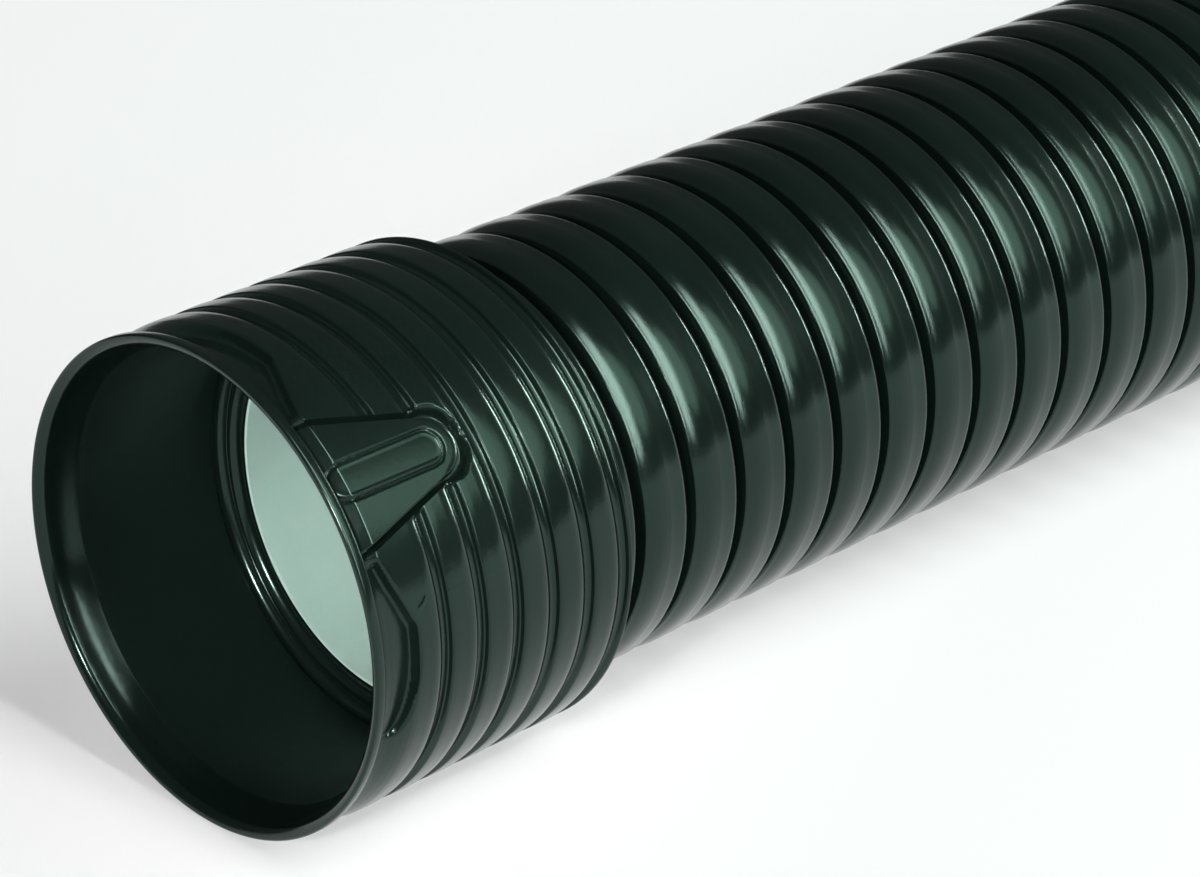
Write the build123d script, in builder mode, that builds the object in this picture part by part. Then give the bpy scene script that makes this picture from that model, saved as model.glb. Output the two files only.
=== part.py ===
from build123d import *
import math
import os

os.makedirs("parts", exist_ok=True)

# Pipe barrel, in millimetres: twin-wall stock of 300 mm inside diameter, cut square in its valleys
bore_radius = 150.0
liner_wall = 2.2
valley_wall = 3.8
wave_height = 20.0
corrugation_pitch = 54.0
crest_gap = 12.6
corrugation_count = 37

# Socket walls, each as a step outwards from the pipe's crests
sleeve_clearance = 2.5
lead_in_rise = 5.0
neck_wall = 3.5
shoulder_rise = 8.4
lip_rise = 1.0
lip_flare = 6.0
lip_chamfer = 2.5

# Socket outside, from the mouth to its far end
lip_width = 8.0
lip_back = 2.0
neck_width = 6.0
shoulder_width = 28.0
first_land = 18.0
land_width = 23.0
groove_width = 12.5
groove_depth = 4.5
groove_slope = 2.0
groove_count = 6
end_flange = 3.5

# Socket inside, from the mouth to the stop that the pipe's cut end meets
throat_start = 9.0
lead_in_length = 26.0
seal_length = 130.0
stop_cone = 7.0
stop_wall = 2.7
stop_lap = 2.0
seat_clearance = 0.3

# Wedge pad on the socket, its moat, and the low oval frame on it
pad_elevation = 43.0
pad_slope = 11.0
wedge_length = 119.0
wedge_base_width = 106.0
wedge_tip_radius = 24.0
moat_width = 3.5
moat_tip_width = 7.0
moat_depth = 4.5
frame_start = 12.0
frame_length = 100.0
frame_width = 25.0
frame_line = 2.0
frame_height = 0.8

# Field round the wedge, and the two pockets in the shoulder that it ends at
field_half_width = 60.0
field_spread = 52.0
pocket_width = 26.5
pocket_near_angle = 12.0
pocket_far_angle = 60.0

liner_outer = bore_radius + liner_wall
valley_radius = liner_outer + valley_wall
crest_radius = valley_radius + wave_height
seal_radius = crest_radius + sleeve_clearance
throat_radius = seal_radius + lead_in_rise
neck_radius = throat_radius + neck_wall
body_radius = neck_radius + shoulder_rise
mouth_radius = body_radius + lip_rise

neck_start = lip_width + lip_back
neck_end = neck_start + neck_width
shoulder_end = neck_end + shoulder_width
socket_length = shoulder_end + first_land + groove_count * groove_width
socket_length += (groove_count - 1) * land_width + end_flange

seal_start = throat_start + lead_in_length
seal_end = seal_start + seal_length
stop_end = seal_end + stop_cone + stop_wall
pipe_start = stop_end + seat_clearance
pipe_end = pipe_start + corrugation_count * corrugation_pitch

# The pipe lies on its side with its mouth towards -X, over the middle of its footprint
axis_start = Vector(-pipe_end / 2, 0, mouth_radius)
pipe_axis = Axis(axis_start, (1, 0, 0))


def radial_plane(elevation):
    """Half-section through the axis: X along the pipe, Y outwards at an elevation on the -Y side."""
    angle = math.radians(elevation)
    return Plane(origin=axis_start, x_dir=(1, 0, 0), z_dir=(0, -math.sin(angle), -math.cos(angle)))


def turned(points, elevation=90.0, arc=360.0):
    """Closed outline of (along, radius) points turned about the pipe's axis."""
    with BuildPart() as body:
        with BuildSketch(radial_plane(elevation)):
            with BuildLine():
                Polyline(*points, close=True)
            make_face()
        revolve(axis=pipe_axis, revolution_arc=arc)
    return body.part


# Smooth inner wall, open at both ends
with BuildPart() as inner_liner:
    add(turned([
        (pipe_start, bore_radius),
        (pipe_end, bore_radius),
        (pipe_end, liner_outer),
        (pipe_start, liner_outer),
    ]))
inner_liner.part.label = "inner_liner"
export_step(inner_liner.part, "parts/inner_liner.step")

# Corrugated outer wall: broad flat crests with steep flanks, and narrow valleys down towards the liner
wave_points = []
for wave in range(corrugation_count):
    wave_start = pipe_start + wave * corrugation_pitch
    wave_end = wave_start + corrugation_pitch
    wave_points += [
        (wave_start, valley_radius),
        (wave_start + crest_gap / 2, crest_radius),
        (wave_end - crest_gap / 2, crest_radius),
    ]

with BuildPart() as corrugated_wall:
    add(turned([
        (pipe_end, liner_outer),
        (pipe_start, liner_outer),
        *wave_points,
        (pipe_end, valley_radius),
    ]))
corrugated_wall.part.label = "corrugated_wall"
export_step(corrugated_wall.part, "parts/corrugated_wall.step")

# Socket: outline of the plain turned sleeve
groove_floor = body_radius - groove_depth
groove_points = []
for groove in range(groove_count):
    groove_start = shoulder_end + first_land + groove * (groove_width + land_width)
    groove_end = groove_start + groove_width
    groove_points += [
        (groove_start, body_radius),
        (groove_start + groove_slope, groove_floor),
        (groove_end, groove_floor),
        (groove_end, body_radius),
    ]
seat_radius = crest_radius + seat_clearance
stop_radius = valley_radius - stop_lap
stop_face = stop_end - stop_wall
lip_inner = throat_radius + lip_flare
sleeve_points = [
    (0, lip_inner + lip_chamfer),
    (0, mouth_radius - lip_chamfer),
    (lip_chamfer, mouth_radius),
    (lip_width, mouth_radius),
    (neck_start, neck_radius),
    (neck_end, neck_radius),
    (shoulder_end, body_radius),
    *groove_points,
    (socket_length, body_radius),
    (socket_length, seat_radius),
    (stop_end, seat_radius),
    (stop_end, stop_radius),
    (stop_face, stop_radius),
    (stop_face, seal_radius - stop_cone),
    (seal_end, seal_radius),
    (seal_start, seal_radius),
    (throat_start, throat_radius),
    (lip_chamfer, lip_inner),
]

# Plane across the wedge pad's middle, with the pipe's length along its X
pad_angle = math.radians(pad_elevation)
pad_foot = neck_radius / 2
pad_plane = Plane(
    origin=axis_start,
    x_dir=(1, 0, 0),
    z_dir=(0, -math.cos(pad_angle), math.sin(pad_angle)),
).offset(pad_foot)
wedge_tip = lip_width + wedge_length - wedge_tip_radius


def wedge(side_growth, tip_growth):
    """Prism of the wedge: wide at the lip, round at its tip, with straight sides between."""
    with BuildPart() as prism:
        with BuildSketch(pad_plane):
            with Locations((wedge_tip, 0)):
                Circle(wedge_tip_radius + tip_growth)
            with Locations((lip_width / 2, 0)):
                Rectangle(lip_width, wedge_base_width + 2 * side_growth)
            make_hull()
        extrude(amount=mouth_radius)
    return prism.part


field_start = neck_start + pad_slope
field_end = shoulder_end + first_land / 2
with BuildPart() as field:
    with BuildSketch(pad_plane):
        with BuildLine():
            Polyline(
                (lip_width / 2, field_half_width),
                (field_start, field_half_width),
                (neck_end + pocket_width, field_half_width + field_spread),
                (field_end, field_half_width + field_spread),
                (field_end, -field_half_width - field_spread),
                (neck_end + pocket_width, -field_half_width - field_spread),
                (field_start, -field_half_width),
                (lip_width / 2, -field_half_width),
                close=True,
            )
        make_face()
    extrude(amount=mouth_radius)

frame_middle = frame_start + frame_length / 2
with BuildPart() as oval_frame:
    with BuildSketch(pad_plane):
        with Locations((frame_middle, 0)):
            SlotOverall(frame_length, frame_width)
            SlotOverall(frame_length - 2 * frame_line, frame_width - 2 * frame_line, mode=Mode.SUBTRACT)
    extrude(amount=mouth_radius)


def pad_layer(far_end, outer_radius):
    """Ring that the pad's prisms are cut from: sloped up from the neck, then level."""
    rise = outer_radius - body_radius
    return turned([
        (lip_width / 2, throat_radius + neck_wall / 2),
        (lip_width / 2, neck_radius),
        (neck_start, neck_radius + rise),
        (field_start, outer_radius),
        (far_end, outer_radius),
        (far_end, throat_radius + neck_wall / 2),
    ])


with BuildPart() as socket:
    add(turned(sleeve_points))

    # Pockets in the shoulder, one on each side of the wedge
    pocket_points = [
        (neck_end - neck_width / 2, neck_radius),
        (neck_end - neck_width / 2, mouth_radius),
        (neck_end + pocket_width, mouth_radius),
        (neck_end + pocket_width, neck_radius),
    ]
    pocket_arc = pocket_far_angle - pocket_near_angle
    for pocket_start in (pad_elevation + pocket_far_angle, pad_elevation - pocket_near_angle):
        add(turned(pocket_points, pocket_start, pocket_arc), mode=Mode.SUBTRACT)
    add(field.part & pad_layer(field_end, body_radius))

    # Moat round the wedge, then the wedge itself with its oval frame
    moat_ring = turned([
        (lip_width, body_radius - moat_depth),
        (lip_width, mouth_radius + lip_rise),
        (socket_length, mouth_radius + lip_rise),
        (socket_length, body_radius - moat_depth),
    ])
    add(wedge(moat_width, moat_tip_width) & moat_ring, mode=Mode.SUBTRACT)
    add(wedge(0, 0) & pad_layer(lip_width + wedge_length + land_width, body_radius))
    add(oval_frame.part & pad_layer(lip_width + wedge_length, body_radius + frame_height))
socket.part.label = "socket"
export_step(socket.part, "parts/socket.step")
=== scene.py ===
import math

import bpy
import numpy as np
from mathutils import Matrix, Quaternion, Vector


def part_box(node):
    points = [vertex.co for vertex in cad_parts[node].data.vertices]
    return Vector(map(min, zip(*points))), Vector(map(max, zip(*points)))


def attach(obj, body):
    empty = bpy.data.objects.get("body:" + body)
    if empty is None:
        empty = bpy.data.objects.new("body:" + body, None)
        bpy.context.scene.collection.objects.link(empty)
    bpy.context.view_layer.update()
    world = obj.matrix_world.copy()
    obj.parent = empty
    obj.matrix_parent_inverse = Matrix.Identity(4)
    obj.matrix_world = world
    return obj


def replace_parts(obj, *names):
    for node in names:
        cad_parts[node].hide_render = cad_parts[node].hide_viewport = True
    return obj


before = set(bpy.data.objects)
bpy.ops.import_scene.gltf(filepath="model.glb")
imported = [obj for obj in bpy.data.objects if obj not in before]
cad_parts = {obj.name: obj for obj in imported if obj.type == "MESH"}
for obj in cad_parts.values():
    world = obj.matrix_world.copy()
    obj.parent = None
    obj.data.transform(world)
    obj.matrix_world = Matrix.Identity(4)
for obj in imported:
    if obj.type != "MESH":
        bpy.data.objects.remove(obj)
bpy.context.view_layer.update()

# Camera, at the photograph's viewing angle
CAMERA_PLACE = (-2.9628, -2.3352, 1.7892)
CAMERA_AIM = (0.62787, 0.64070, -0.44189)
camera_data = bpy.data.cameras.new("camera")
camera_data.lens = 138.56
camera_data.sensor_width = 36.0
camera_data.clip_start = 0.05
camera_data.clip_end = 300.0
camera = bpy.data.objects.new("camera", camera_data)
camera.location = CAMERA_PLACE
camera.rotation_mode = "QUATERNION"
camera.rotation_quaternion = Vector(CAMERA_AIM).to_track_quat("-Z", "Y")
bpy.context.scene.collection.objects.link(camera)
bpy.context.scene.camera = camera

# Sizes in millimetres, with places along the pipe measured from the socket's mouth
MM = 0.001
socket_low, socket_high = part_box("socket")
wall_low, wall_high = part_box("corrugated_wall")
MOUTH_X = socket_low.x / MM
AXIS_Z = (socket_low.z + socket_high.z) / 2 / MM
PIPE_START = wall_low.x / MM - MOUTH_X
PIPE_END = wall_high.x / MM - MOUTH_X
SOCKET_END = socket_high.x / MM - MOUTH_X
PITCH = 54.0
WAVES = round((PIPE_END - PIPE_START) / PITCH)

# Radii, from the liner's bore outwards
BORE = 150.0
LINER_OUTER = 152.2
VALLEY = 156.0
CREST = 176.0
SEAL = 178.5
THROAT = 183.5
NECK = 187.0
BODY = 195.4
MOUTH = 196.4

# Middle of the wedge pad in degrees above the -Y side, and one degree's length round the socket
PAD_ANGLE = 43.0
DEGREE = BODY * math.pi / 180.0


def smooth_step(value):
    value = np.clip(value, 0.0, 1.0)
    return value * value * (3.0 - 2.0 * value)


def ramp(x, start, length):
    """0 before a place along the pipe, and 1 from this length past it."""
    return smooth_step((x - start) / length)


def edge(distance, width):
    """0 inside and 1 outside an outline, over a soft edge of this width."""
    return smooth_step(distance / width + 0.5)


def ridge(distance, width):
    """1 on a line, and 0 from this width off it on both sides."""
    return 1.0 - smooth_step(np.abs(distance) / width)


def toward(value, other, share):
    """Goes from one value to another by a share between 0 and 1."""
    return value + (other - value) * share


def value_at(points, x):
    """Value at a place along the pipe, between (along, value) points."""
    return np.interp(x, [along for along, value in points], [value for along, value in points])


def arc(centre_x, centre_r, radius, start, end, count):
    """Points of an arc in the (along, radius) half-section, angles in degrees."""
    turns = np.radians(np.linspace(start, end, count))
    return [(centre_x + radius * math.cos(t), centre_r + radius * math.sin(t)) for t in turns]


def ring_points(along, radius, angles):
    """Points round the axis, at angles in degrees from the pad's middle."""
    turn = np.radians(angles + PAD_ANGLE)
    points = np.empty((len(angles), 3))
    points[:, 0] = MOUTH_X + along
    points[:, 1] = -radius * np.cos(turn)
    points[:, 2] = AXIS_Z + radius * np.sin(turn)
    return points * MM


def mesh_piece(name, points, faces, material, crisp):
    """A smooth-shaded closed mesh, with edges sharper than the crisp angle kept sharp."""
    mesh = bpy.data.meshes.new(name)
    mesh.from_pydata(points.tolist(), [], faces)
    mesh.polygons.foreach_set("use_smooth", [True] * len(mesh.polygons))
    mesh.set_sharp_from_angle(angle=math.radians(crisp))
    mesh.materials.append(material)
    piece = bpy.data.objects.new(name, mesh)
    bpy.context.scene.collection.objects.link(piece)
    return piece


def lathe(name, profile, columns, material, crisp):
    """Closed (along, radius) outline turned round the axis."""
    angles = np.arange(columns) * 360.0 / columns
    points = np.concatenate([ring_points(x, r, angles) for x, r in profile])
    faces = []
    for i in range(len(profile)):
        here = i * columns
        ahead = (i + 1) % len(profile) * columns
        for j in range(columns):
            k = (j + 1) % columns
            faces.append((here + j, here + k, ahead + k, ahead + j))
    return mesh_piece(name, points, faces, material, crisp)


def new_material(name):
    material = bpy.data.materials.new(name)
    material.use_nodes = True
    return material, material.node_tree.nodes, material.node_tree.links


def noise(nodes, links, coordinates, scale, detail, stretch):
    mapping = nodes.new("ShaderNodeMapping")
    mapping.inputs["Scale"].default_value = stretch
    links.new(coordinates, mapping.inputs["Vector"])
    texture = nodes.new("ShaderNodeTexNoise")
    texture.inputs["Scale"].default_value = scale
    texture.inputs["Detail"].default_value = detail
    links.new(mapping.outputs["Vector"], texture.inputs["Vector"])
    return texture.outputs["Fac"]


# Middle of a noise value's range
NOISE_LOW = 0.3
NOISE_HIGH = 0.7


def spread(nodes, links, value, low, high):
    """Maps the middle of a noise value's range to a number between two ends."""
    node = nodes.new("ShaderNodeMapRange")
    node.inputs["From Min"].default_value = NOISE_LOW
    node.inputs["From Max"].default_value = NOISE_HIGH
    node.inputs["To Min"].default_value = low
    node.inputs["To Max"].default_value = high
    links.new(value, node.inputs["Value"])
    return node.outputs["Result"]


def tint(nodes, links, value, dark, light):
    """A colour between a dark and a light one, by a noise value."""
    mix = nodes.new("ShaderNodeMix")
    mix.data_type = "RGBA"
    mix.inputs[6].default_value = (*dark, 1.0)
    mix.inputs[7].default_value = (*light, 1.0)
    links.new(spread(nodes, links, value, 0.0, 1.0), mix.inputs[0])
    return mix.outputs[2]


def calculate(nodes, links, operation, first, second):
    """A maths node on two values, each a number or another node's output."""
    node = nodes.new("ShaderNodeMath")
    node.operation = operation
    for socket, value in zip(node.inputs, (first, second)):
        if isinstance(value, (int, float)):
            socket.default_value = value
        else:
            links.new(value, socket)
    return node.outputs["Value"]


# Stretch of the noise: the grain is even, or drawn out round the pipe or along it
EVEN = (1, 1, 1)
ROUND_PIPE = (6, 1, 1)
ALONG_PIPE = (1, 6, 6)

# Relief of the grain, whose height is in metres
GRAIN_STRENGTH = 0.1
GRAIN_HEIGHT = 0.0006


def polyethylene(name, dark, light, rough, specular, gloss_tint, stretch):
    """Plastic with broad shifts of colour, finer shifts of gloss and a fine grain."""
    material, nodes, links = new_material(name)
    shader = nodes["Principled BSDF"]
    shader.inputs["Specular IOR Level"].default_value = specular
    shader.inputs["Specular Tint"].default_value = (*gloss_tint, 1.0)
    place = nodes.new("ShaderNodeTexCoord").outputs["Object"]
    broad = noise(nodes, links, place, scale=6.0, detail=3.0, stretch=EVEN)
    fine = noise(nodes, links, place, scale=60.0, detail=4.0, stretch=stretch)
    links.new(tint(nodes, links, broad, dark, light), shader.inputs["Base Color"])
    links.new(spread(nodes, links, fine, *rough), shader.inputs["Roughness"])
    grain = noise(nodes, links, place, scale=220.0, detail=2.0, stretch=stretch)
    relief = nodes.new("ShaderNodeBump")
    relief.inputs["Strength"].default_value = GRAIN_STRENGTH
    relief.inputs["Distance"].default_value = GRAIN_HEIGHT
    links.new(grain, relief.inputs["Height"])
    links.new(relief.outputs["Normal"], shader.inputs["Normal"])
    return material


# Black plastic of the socket and the wall
BLACK_DARK = (0.0025, 0.0052, 0.0042)
BLACK_LIGHT = (0.0040, 0.0084, 0.0068)
BLACK_ROUGH = (0.16, 0.20)
BLACK_SPECULAR = 0.40
GREEN_GLOSS = (0.66, 1.0, 0.86)


def black_polyethylene(name, stretch):
    return polyethylene(
        name, BLACK_DARK, BLACK_LIGHT, BLACK_ROUGH, BLACK_SPECULAR, GREEN_GLOSS, stretch
    )


# Plain bore of the socket, which is duller than the rest of the moulding
DULL_RADIUS = 178.8
DULL_REACH = 163.0
DULL_ADDED = 0.3


def dull_bore(material):
    """Adds roughness inside this radius, from the mouth to just before the stop ring."""
    nodes, links = material.node_tree.nodes, material.node_tree.links
    place = nodes.new("ShaderNodeTexCoord").outputs["Object"]
    parts = nodes.new("ShaderNodeSeparateXYZ")
    links.new(place, parts.inputs["Vector"])
    up = calculate(nodes, links, "SUBTRACT", parts.outputs["Z"], AXIS_Z * MM)
    side_square = calculate(nodes, links, "MULTIPLY", parts.outputs["Y"], parts.outputs["Y"])
    up_square = calculate(nodes, links, "MULTIPLY", up, up)
    square = calculate(nodes, links, "ADD", side_square, up_square)
    near_axis = calculate(nodes, links, "LESS_THAN", square, (DULL_RADIUS * MM) ** 2)
    reach = (MOUTH_X + DULL_REACH) * MM
    before_stop = calculate(nodes, links, "LESS_THAN", parts.outputs["X"], reach)
    duller = calculate(nodes, links, "MULTIPLY", near_axis, before_stop)
    duller = calculate(nodes, links, "MULTIPLY", duller, DULL_ADDED)
    rough = nodes["Principled BSDF"].inputs["Roughness"]
    links.new(calculate(nodes, links, "ADD", rough.links[0].from_socket, duller), rough)


# Pale plastic of the liner
LINER_DARK = (0.37, 0.53, 0.47)
LINER_LIGHT = (0.41, 0.57, 0.51)
LINER_ROUGH = (0.42, 0.5)
LINER_SPECULAR = 0.4
PLAIN_GLOSS = (1, 1, 1)


def liner_polyethylene(name, stretch):
    return polyethylene(
        name, LINER_DARK, LINER_LIGHT, LINER_ROUGH, LINER_SPECULAR, PLAIN_GLOSS, stretch
    )


moulded = black_polyethylene("moulded_black", EVEN)
dull_bore(moulded)
extruded = black_polyethylene("extruded_black", ROUND_PIPE)
liner_grey = liner_polyethylene("liner_grey", ALONG_PIPE)

# One wave: its crest falls towards the mouth, has a faint line round it and a rounded far edge
CREST_TOP = 28.3
CREST_FALL = 0.0132
FALLING_PLACES = (11.5, 13.5, 16.0, 19.0, 23.0, CREST_TOP)
wave_section = [
    (0.0, VALLEY),
    (3.2, VALLEY),
    *arc(10.85, CREST - 5.8, 2.0, 175, 115, 4),
    *[(x, CREST - CREST_FALL * (CREST_TOP - x) ** 2) for x in FALLING_PLACES],
    (31.0, CREST - 0.07),
    (31.9, CREST - 0.02),
    (32.8, CREST - 0.14),
    (38.5, CREST - 0.3),
    *arc(45.8, CREST - 6.8, 6.5, 93, 38, 6),
    (52.6, VALLEY),
]

# Corrugated wall
WALL_COLUMNS = 108
WALL_CRISP = 60
wall_section = [(PIPE_START, LINER_OUTER)]
for wave in range(WAVES):
    wave_start = PIPE_START + wave * PITCH
    wall_section += [(wave_start + x, r) for x, r in wave_section]
wall_section += [(PIPE_END, VALLEY), (PIPE_END, LINER_OUTER)]
wall = lathe("corrugated_wall_pe", wall_section, WALL_COLUMNS, extruded, WALL_CRISP)
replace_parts(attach(wall, "root"), "corrugated_wall")

# Liner, with a small bevel on its inner edges
LINER_COLUMNS = 180
LINER_CRISP = 40
LINER_BEVEL = 0.4
liner_section = [
    (PIPE_START, BORE + LINER_BEVEL),
    (PIPE_START + LINER_BEVEL, BORE),
    (PIPE_END - LINER_BEVEL, BORE),
    (PIPE_END, BORE + LINER_BEVEL),
    (PIPE_END, LINER_OUTER),
    (PIPE_START, LINER_OUTER),
]
liner = lathe("inner_liner_pe", liner_section, LINER_COLUMNS, liner_grey, LINER_CRISP)
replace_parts(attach(liner, "root"), "inner_liner")

# Grooves round the socket, between lands
GROOVES = 6
GROOVE_START = 62.0
GROOVE_PITCH = 35.5
GROOVE_WIDTH = 12.5
GROOVE_FLOOR = BODY - 4.5
groove_starts = [GROOVE_START + groove * GROOVE_PITCH for groove in range(GROOVES)]


def groove_section(near):
    """Outline down a groove's soft near side, along its floor and up its steeper far side."""
    far = near + GROOVE_WIDTH
    return [
        (near - 7.0, BODY),
        (near - 4.0, BODY - 0.14),
        (near - 1.5, BODY - 0.47),
        (near + 0.5, BODY - 0.95),
        (near + 1.8, BODY - 1.55),
        (near + 2.8, BODY - 2.5),
        (near + 3.6, GROOVE_FLOOR + 0.9),
        (near + 4.6, GROOVE_FLOOR + 0.4),
        (far - 1.0, GROOVE_FLOOR - 0.4),
        (far - 0.4, GROOVE_FLOOR + 0.3),
        (far, BODY - 1.5),
        (far + 0.5, BODY - 0.7),
        (far + 1.6, BODY - 0.4),
        (far + 6.0, BODY - 0.12),
    ]


# Socket outside: the lip, and then the plain sleeve with its smooth shoulder, or the field's plateau
LIP_ROUND = 2.6
lip_section = [
    *arc(LIP_ROUND, MOUTH - LIP_ROUND, LIP_ROUND, 150, 90, 4),
    (7.4, MOUTH),
    (8.6, MOUTH - 0.5),
    (9.4, MOUTH - 2.6),
]
lip_foot = (9.9, NECK + 2.6)
groove_rows = [row for near in groove_starts for row in groove_section(near)]
ribbed_section = [*groove_rows[:-1], (SOCKET_END - 0.8, BODY - 0.3), (SOCKET_END, BODY - 1.1)]
sleeve_section = [
    *lip_section,
    lip_foot,
    (10.9, NECK + 0.8),
    (12.4, NECK),
    (16.0, NECK + 0.25),
    (20.0, NECK + 1.0),
    (25.0, NECK + 2.7),
    (30.0, NECK + 4.8),
    (35.0, NECK + 6.6),
    (40.0, NECK + 7.9),
    (44.0, BODY - 0.1),
    (48.0, BODY),
    *ribbed_section,
]
plateau_section = [
    *lip_section,
    lip_foot,
    (10.9, NECK + 1.0),
    (20.2, BODY - 1.0),
    (21.4, BODY - 0.2),
]
field_section = [*plateau_section, (23.0, BODY), *ribbed_section]

# Pockets in the shoulder, whose far wall bows back to a round end
POCKET_WALL = 42.5
POCKET_BOW = 20.0
POCKET_TURN = 41.0
POCKET_REACH = 20.0
POCKET_END = 46.0
POCKET_EDGE = 3.0
POCKET_RISE_START = 14.0
POCKET_RISE = 7.0
POCKET_FLOOR = NECK - 0.2
POCKET_DIP = 1.6
POCKET_DIP_START = 18.0
POCKET_DIP_LENGTH = 22.0
LEAST_SIZE = 0.05
LEAST_STEEPNESS = 0.01


def with_pockets(radius, x, away):
    """Cuts the pockets, whose bow starts POCKET_TURN degrees from the pad's middle."""
    past = np.maximum(away - POCKET_TURN, 0.0) / POCKET_REACH
    deep = (x - POCKET_WALL + POCKET_BOW) / POCKET_BOW
    size = np.maximum(np.hypot(past, deep), LEAST_SIZE)
    steepness = np.hypot(past / (POCKET_REACH * DEGREE), deep / POCKET_BOW) / size
    steepness = np.maximum(steepness, LEAST_STEEPNESS)
    pocket = 1.0 - edge((size - 1.0) / steepness, POCKET_EDGE)
    pocket = pocket * ramp(x, POCKET_RISE_START, POCKET_RISE)
    pocket_floor = POCKET_FLOOR - POCKET_DIP * ramp(x, POCKET_DIP_START, POCKET_DIP_LENGTH)
    return toward(radius, pocket_floor, pocket)


# Field round the wedge: half its width round the socket at places along it, and its soft edge
FIELD_HALF_WIDTHS = [(10.0, 60.0), (20.5, 61.5), (27.0, 82.0), (42.5, 119.0), (48.0, 132.0)]
FIELD_EDGE = 3.4
FIELD_EDGE_AT_NECK = 6.0
FIELD_NECK_END = 19.0


def with_field(radius, x, round_way):
    """Adds the field, which the pockets stop at."""
    half_width = value_at(FIELD_HALF_WIDTHS, x)
    lean = value_at(FIELD_HALF_WIDTHS, x + 1.0) - value_at(FIELD_HALF_WIDTHS, x - 1.0)
    gap = (round_way - half_width) / math.hypot(1.0, lean / 2.0)
    width = FIELD_EDGE if x > FIELD_NECK_END else FIELD_EDGE_AT_NECK
    return toward(radius, value_at(field_section, x), 1.0 - edge(gap, width))


# Arc marks and parting lines on both sides of the wedge, at distances round from the pad's middle
MARK_X = 43.0
MARK_AWAY = 94.0
MARK_RADIUS = 11.0
MARK_FROM_X = 45.0
MARK_FROM_AWAY = 98.0
MARK_WIDTH = 1.6
MARK_HEIGHT = 0.5
SEAM_FROM_X = 46.0
SEAM_AWAY = 102.3
SEAM_WIDTH = 1.4
SEAM_HEIGHT = 0.14
FAR_OFF = 99.0


def with_marks(radius, x, round_way):
    mark = np.hypot(x - MARK_X, round_way - MARK_AWAY) - MARK_RADIUS
    mark = np.where((round_way > MARK_FROM_AWAY) & (x > MARK_FROM_X), mark, FAR_OFF)
    radius = radius + MARK_HEIGHT * ridge(mark, MARK_WIDTH)
    if x > SEAM_FROM_X:
        radius = radius + SEAM_HEIGHT * ridge(round_way - SEAM_AWAY, SEAM_WIDTH)
    return radius


# Wedge pad: it narrows from the lip to a round tip, where its top falls and its edge is softer
LIP_WIDTH = 8.0
WEDGE_TIP = 103.0
WEDGE_TIP_RADIUS = 24.0
WEDGE_HALF_BASE = 53.0
WEDGE_SLOPE = (WEDGE_TIP_RADIUS - WEDGE_HALF_BASE) / (WEDGE_TIP - LIP_WIDTH)
WEDGE_GROWTH = 0.3
WEDGE_SOFT = 1.1
TIP_SOFT = 1.5
TIP_SOFT_START = 98.0
TIP_SOFT_LENGTH = 8.0
TIP_FALL = 1.5
TIP_FALL_WIDTH = 6.0
TIP_FALL_START = 104.0
TIP_FALL_LENGTH = 12.0


def wedge_half_width(x):
    return WEDGE_HALF_BASE + WEDGE_SLOPE * (x - LIP_WIDTH)


def wedge_distance(x, across):
    """Signed distance in millimetres outside the wedge's outline."""
    across = np.abs(across)
    if x <= WEDGE_TIP:
        return (across - wedge_half_width(x)) / math.hypot(1.0, WEDGE_SLOPE)
    return np.hypot(x - WEDGE_TIP, across) - WEDGE_TIP_RADIUS


def with_wedge(radius, x, outside):
    fall = np.clip(1.0 + outside / TIP_FALL_WIDTH, 0.0, 1.0) ** 2
    fall = fall * ramp(x, TIP_FALL_START, TIP_FALL_LENGTH)
    top = value_at(plateau_section, x) - TIP_FALL * fall
    soft = WEDGE_SOFT + TIP_SOFT * ramp(x, TIP_SOFT_START, TIP_SOFT_LENGTH)
    return toward(radius, top, 1.0 - edge(outside - WEDGE_GROWTH, soft))


# Channel round the wedge, wider and with a softer outer side round the tip
CHANNEL_WIDTH = 3.4
CHANNEL_TIP_WIDTH = 8.0
CHANNEL_WIDENING_START = 96.0
CHANNEL_WIDENING = 30.0
CHANNEL_DEPTH = 9.5
CHANNEL_LOWEST = NECK - 2.2
CHANNEL_TIP_SOFT = 3.4
CHANNEL_SOFT_LENGTH = 12.0


def channel_width(x):
    return toward(CHANNEL_WIDTH, CHANNEL_TIP_WIDTH, ramp(x, CHANNEL_WIDENING_START, CHANNEL_WIDENING))


def with_channel(radius, x, outside):
    bottom = np.maximum(value_at(plateau_section, x) - CHANNEL_DEPTH, CHANNEL_LOWEST)
    soft = WEDGE_SOFT + CHANNEL_TIP_SOFT * ramp(x, TIP_SOFT_START, CHANNEL_SOFT_LENGTH)
    return toward(bottom, radius, edge(outside - channel_width(x), soft))


# Rim beside the channel, where the grooves are filled to just under the plateau
RIM_START = 48.0
RIM_END = 114.0
RIM_FADE_START = 106.0
RIM_FADE = 8.0
RIM_WIDTH = 2.2
RIM_EDGE = 1.8
RIM_DROP = 0.5


def with_rim(radius, x, outside):
    rim = 1.0 - edge(outside - channel_width(x) - RIM_WIDTH, RIM_EDGE)
    rim = rim * (1.0 - ramp(x, RIM_FADE_START, RIM_FADE))
    return radius + np.maximum(value_at(plateau_section, x) - RIM_DROP - radius, 0.0) * rim


# Oval frame on the wedge: a soft bead with a line round it, and neither reaches the wedge's edge
OVAL_MIDDLE = 62.0
OVAL_HALF_LENGTH = 50.0
OVAL_HALF_WIDTH = 12.5
OVAL_MARGIN = 0.5
BEAD_INSET = 1.2
BEAD_WIDTH = 2.0
BEAD_HEIGHT = 0.5
LINE_OFFSET = 1.5
LINE_WIDTH = 2.1
LINE_DEPTH = 2.1


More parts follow.
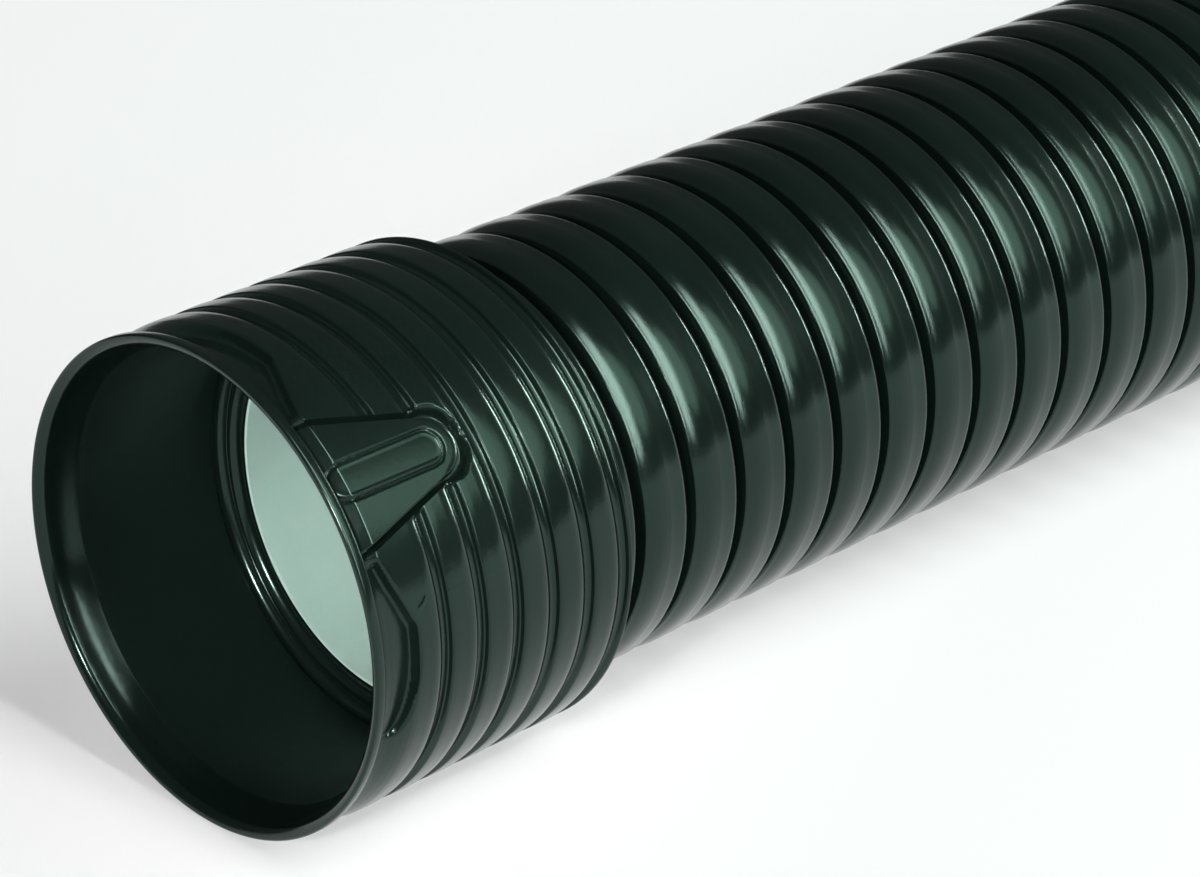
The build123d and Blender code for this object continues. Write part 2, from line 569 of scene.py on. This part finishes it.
def oval_distance(x, across):
    """Signed distance in millimetres outside the oval's outline."""
    reach = max(abs(x - OVAL_MIDDLE) - (OVAL_HALF_LENGTH - OVAL_HALF_WIDTH), 0.0)
    return np.hypot(reach, across) - OVAL_HALF_WIDTH


def with_oval(radius, x, across, outside):
    from_oval = oval_distance(x, across)
    bead = BEAD_HEIGHT * ridge(from_oval + BEAD_INSET, BEAD_WIDTH)
    line = LINE_DEPTH * ridge(from_oval - LINE_OFFSET, LINE_WIDTH)
    return radius + (bead - line) * (outside < -OVAL_MARGIN)


# Notch from the channel's tip into the groove beyond it
NOTCH_START = 130.0
NOTCH_END = 138.0
NOTCH_HALF_WIDTH = 1.4
NOTCH_EDGE = 1.6


def with_notch(radius, across):
    notch = 1.0 - smooth_step((np.abs(across) - NOTCH_HALF_WIDTH) / NOTCH_EDGE)
    return toward(radius, np.minimum(radius, GROOVE_FLOOR), notch)


def socket_radius(x, angle):
    """Outer radius of the socket at a place along it, at angles in degrees from the pad's middle."""
    away = np.abs(angle)
    round_way = away * DEGREE
    across = BODY * np.sin(np.radians(np.clip(angle, -90.0, 90.0)))
    outside = np.where(away < 90.0, wedge_distance(x, across), FAR_OFF)
    radius = np.full(angle.shape, value_at(sleeve_section, x))
    if x < POCKET_END:
        radius = with_pockets(radius, x, away)
    radius = with_field(radius, x, round_way)
    radius = with_marks(radius, x, round_way)
    if RIM_START < x < RIM_END:
        radius = with_rim(radius, x, outside)
    radius = with_channel(radius, x, outside)
    radius = with_wedge(radius, x, outside)
    radius = with_oval(radius, x, across, outside)
    if NOTCH_START < x < NOTCH_END:
        radius = with_notch(radius, across)
    return radius


# Columns round the socket in degrees from the pad's middle: fine over the pad and coarse elsewhere
COARSE_STEP = 2
FINE_REACH = 64
FINE_PARTS = 6
LAST_FINE_ROW = 147.0
column_angles = []
coarse_columns = []
for start in range(-180, 180, COARSE_STEP):
    parts = FINE_PARTS if -FINE_REACH <= start < FINE_REACH else 1
    coarse_columns.append(len(column_angles))
    column_angles += [start + COARSE_STEP * i / parts for i in range(parts)]
column_angles = np.array(column_angles)
coarse_angles = column_angles[coarse_columns]
all_columns = list(range(len(column_angles)))

# The column that follows the wedge's side, and how many degrees of columns the channel takes
SIDE_COLUMN = 16.0
CHANNEL_COLUMNS = 4.0 / 3.0


def drawn_in(x):
    """The columns' angles at a place along the socket, drawn in to follow the wedge's sides."""
    half = wedge_half_width(min(max(x, LIP_WIDTH), WEDGE_TIP))
    half = math.degrees(math.asin(half / BODY))
    ease = float(ramp(x, WEDGE_TIP, LAST_FINE_ROW - WEDGE_TIP))
    half = toward(half, SIDE_COLUMN, ease)
    channel = toward(math.degrees(CHANNEL_WIDTH / BODY), CHANNEL_COLUMNS, ease)
    even = [0.0, SIDE_COLUMN, SIDE_COLUMN + CHANNEL_COLUMNS, FINE_REACH, 180.0]
    drawn = [0.0, half, half + channel, FINE_REACH, 180.0]
    return np.sign(column_angles) * np.interp(np.abs(column_angles), even, drawn)


# Rows along the pad, close together where its outline turns
NECK_ROWS = [9.9, 10.9, 12.0, 13.2, 14.5, 16.0, 17.5, 19.0, 20.2, 21.4]
SHOULDER_ROWS = [*np.arange(22.5, 41.5, 1.1)]
POCKET_WALL_ROWS = [41.6, 42.1, 42.5, 42.9, 43.4, 44.4, 45.5, 47.0]
FIRST_LAND_ROWS = [*np.arange(48.2, 56.5, 1.3)]
TIP_ROWS = [100.9, 102.5, 111.4, 112.5, 126.9, 128.1, 138.1, 139.5]
GROOVE_FLOOR_STEPS = [6.0, 7.4, 8.8, 10.2]
PAD_GROOVES = 3
pad_rows = NECK_ROWS + SHOULDER_ROWS + POCKET_WALL_ROWS + FIRST_LAND_ROWS + TIP_ROWS
for near in groove_starts[:PAD_GROOVES]:
    next_near = near + GROOVE_PITCH
    pad_rows += [x for x, r in groove_section(near)[:-1]]
    pad_rows += [near + step for step in GROOVE_FLOOR_STEPS]
    pad_rows += [*np.arange(near + GROOVE_WIDTH + 2.8, next_near - 7.5, 1.15)]
    pad_rows += [*np.arange(next_near - 5.9, next_near - 1.6, 1.1)]
pad_rows = sorted(x for x in pad_rows if x < LAST_FINE_ROW)

# Socket inside, from the far end back past the stop ring and the seal bore to the lip
SEAT = CREST + 0.3
STOP_FACE = 172.0
STOP_END = PIPE_START - 0.3
STOP_BORE = 154.0
STOP_ROUND = 8.5
COVE = 8.0
inside_section = [
    (SOCKET_END, SEAT + 0.7),
    (SOCKET_END - 0.7, SEAT),
    (STOP_END, SEAT),
    (STOP_END, STOP_BORE),
    (STOP_END - 0.9, STOP_BORE),
    *arc(STOP_FACE + 2.6, STOP_BORE + STOP_ROUND, STOP_ROUND, 262, 200, 4),
    (STOP_FACE - 0.1, 162.0),
    (STOP_FACE - 0.4, 166.5),
    (STOP_FACE - 0.4, 169.4),
    (STOP_FACE + 0.5, 169.8),
    (STOP_FACE + 0.5, 170.4),
    (STOP_FACE - 0.4, 170.8),
    *arc(STOP_FACE - COVE, SEAL - COVE, COVE, 8, 90, 7),
    (160.0, SEAL),
    (33.0, SEAL),
    (31.6, SEAL + 0.15),
    (30.6, SEAL + 0.5),
    (27.0, SEAL + 1.95),
    (22.0, SEAL + 3.9),
    (17.5, THROAT + 0.5),
    (14.0, THROAT + 1.5),
    (10.0, THROAT + 2.35),
    (6.5, THROAT + 3.1),
    (4.2, THROAT + 3.9),
    (2.6, THROAT + 5.2),
    (1.4, THROAT + 7.0),
    (0.5, THROAT + 9.0),
    (0.1, THROAT + 10.6),
]

# Socket rings, from the lip along the outside to the far end and back inside
rear_section = [(x, value_at(sleeve_section, x)) for x, r in sleeve_section if x >= LAST_FINE_ROW]
rings = [(ring_points(x, r, coarse_angles), coarse_columns) for x, r in lip_section]
for x in pad_rows:
    angles = drawn_in(x)
    rings.append((ring_points(x, socket_radius(x, angles), angles), all_columns))
for x, r in rear_section + inside_section:
    rings.append((ring_points(x, r, coarse_angles), coarse_columns))


def ring_faces(count):
    """Faces from each ring to the next and from the last to the first, by the coarser one's columns."""
    starts = np.cumsum([0] + [len(ring) for ring, columns in rings])
    faces = []
    for i in range(len(rings)):
        n = (i + 1) % len(rings)
        first, second = rings[i][1], rings[n][1]
        fewer = first if len(first) <= len(second) else second
        at_first = {column: starts[i] + k for k, column in enumerate(first)}
        at_second = {column: starts[n] + k for k, column in enumerate(second)}
        for k, column in enumerate(fewer):
            last = fewer[(k + 1) % len(fewer)]
            span = range(column, (last if last > column else last + count) + 1)
            lower = [at_first[c % count] for c in span if c % count in at_first]
            upper = [at_second[c % count] for c in span if c % count in at_second]
            faces.append(lower + upper[::-1])
    return faces


# Socket
SOCKET_CRISP = 75
socket_points = np.concatenate([ring for ring, columns in rings])
socket = mesh_piece("socket_pe", socket_points, ring_faces(len(column_angles)), moulded, SOCKET_CRISP)
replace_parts(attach(socket, "root"), "socket")

# Floor, lifted towards white where it is looked at or mirrored, so that its shadows stay pale
FLOOR_SIZE = 200.0
FLOOR_DROP = 0.0005
FLOOR_COLOUR = (0.8, 0.8, 0.8, 1.0)
FLOOR_ROUGH = 0.9
FLOOR_SPECULAR = 0.1
FLOOR_LIFT = 0.4
floor_material, nodes, links = new_material("pale_floor")
bpy.ops.mesh.primitive_plane_add(size=FLOOR_SIZE, location=(0, 0, -FLOOR_DROP))
floor = bpy.context.object
floor.name = "floor"
shader = nodes["Principled BSDF"]
shader.inputs["Base Color"].default_value = FLOOR_COLOUR
shader.inputs["Roughness"].default_value = FLOOR_ROUGH
shader.inputs["Specular IOR Level"].default_value = FLOOR_SPECULAR
rays = nodes.new("ShaderNodeLightPath").outputs
seen = calculate(nodes, links, "MAXIMUM", rays["Is Camera Ray"], rays["Is Glossy Ray"])
seen = calculate(nodes, links, "MAXIMUM", seen, rays["Is Transmission Ray"])
white = nodes.new("ShaderNodeEmission")
mix = nodes.new("ShaderNodeMixShader")
links.new(calculate(nodes, links, "MULTIPLY", seen, FLOOR_LIFT), mix.inputs[0])
links.new(shader.outputs["BSDF"], mix.inputs[1])
links.new(white.outputs["Emission"], mix.inputs[2])
links.new(mix.outputs["Shader"], nodes["Material Output"].inputs["Surface"])
floor.data.materials.append(floor_material)

# World: one plain dim level all round
WORLD_COLOUR = (1.0, 1.0, 1.0, 1.0)
WORLD_LEVEL = 0.08
world = bpy.data.worlds.new("studio")
bpy.context.scene.world = world
world.use_nodes = True
background = world.node_tree.nodes["Background"]
background.inputs["Color"].default_value = WORLD_COLOUR
background.inputs["Strength"].default_value = WORLD_LEVEL


def softbox(name, place, target, width, height, power):
    """An area lamp that points from its place to a target. Metres and watts."""
    data = bpy.data.lights.new(name, "AREA")
    data.shape = "RECTANGLE"
    data.size = width
    data.size_y = height
    data.energy = power
    lamp = bpy.data.objects.new(name, data)
    lamp.location = place
    aim = Vector(target) - Vector(place)
    lamp.rotation_mode = "QUATERNION"
    lamp.rotation_quaternion = aim.to_track_quat("-Z", "Y")
    bpy.context.scene.collection.objects.link(lamp)
    return lamp


# Key and side lamps: large and far off, for long soft highlights
KEY_TARGET = (-0.3, 0.0, 0.2)
SIDE_GREEN = (0.8, 1.0, 0.9)
key = softbox("key", (-0.8, -11.7, 10.9), KEY_TARGET, width=4.1, height=20.5, power=3450.0)
key.data.shape = "ELLIPSE"
side = softbox("side", (5.2, -11.2, 10.1), KEY_TARGET, width=9.0, height=12.0, power=700.0)
side.data.shape = "ELLIPSE"
side.data.color = SIDE_GREEN

# Front lamp: a small lamp with a narrow beam into the mouth
FRONT_TARGET = (-1.0, 0.0, 0.2)
FRONT_SPREAD = 16.0
front = softbox("front", (-2.67, -1.14, 1.21), FRONT_TARGET, width=0.36, height=0.36, power=0.84)
front.data.spread = math.radians(FRONT_SPREAD)

# Far lamp: a slanted strip past the plain end, for the thin line on each crest's far edge
FAR_TARGET = (-0.2, 0.0, 0.2)
FAR_TURN = -39.0
FAR_GREEN = (0.84, 1.0, 0.92)
far_side = softbox("far_side", (7.0, -2.3, 2.6), FAR_TARGET, width=0.8, height=3.8, power=430.0)
slant = Quaternion((0, 0, 1), math.radians(FAR_TURN))
far_side.rotation_quaternion = far_side.rotation_quaternion @ slant
far_side.data.color = FAR_GREEN

view = bpy.context.scene.view_settings
view.view_transform = "Standard"
